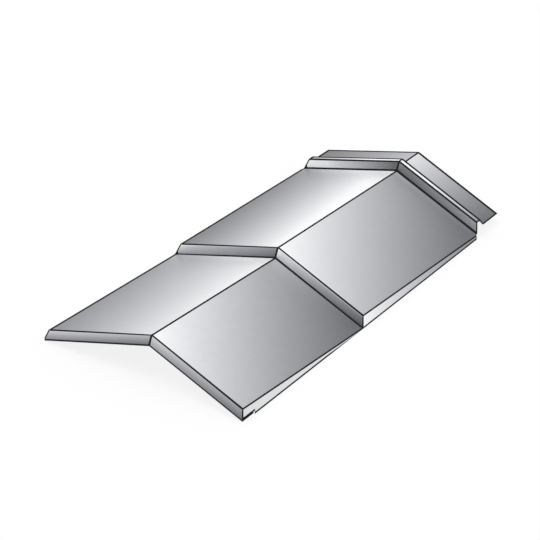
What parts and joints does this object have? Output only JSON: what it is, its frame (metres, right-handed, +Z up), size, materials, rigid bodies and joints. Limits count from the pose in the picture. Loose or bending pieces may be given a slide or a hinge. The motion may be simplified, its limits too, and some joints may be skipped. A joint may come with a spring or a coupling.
{
  "type": "roof ridge cap",
  "caption": "Stepped shake-look metal roof ridge cap: an inverted-V sheet with down-turned noses, wedge side flanges, a front return lip and a raised head lock with a nailing flange.",
  "frame": {"origin": "middle of the outline on the floor: on the ridge plane, half way along, at the level of the side flanges' bottom edges", "axes": "+Y along the ridge from the front nose to the nailing flange, +X to the right-hand slope seen from the front, +Z up"},
  "size_m": [0.24, 0.7107, 0.0582],
  "materials": {
    "sheet": "bare aluminium-zinc coated steel, smooth rolled finish with a faint grain, no paint"
  },
  "bodies": {
    "root": {"ridge_cap": "sheet"}
  },
  "joints": []
}
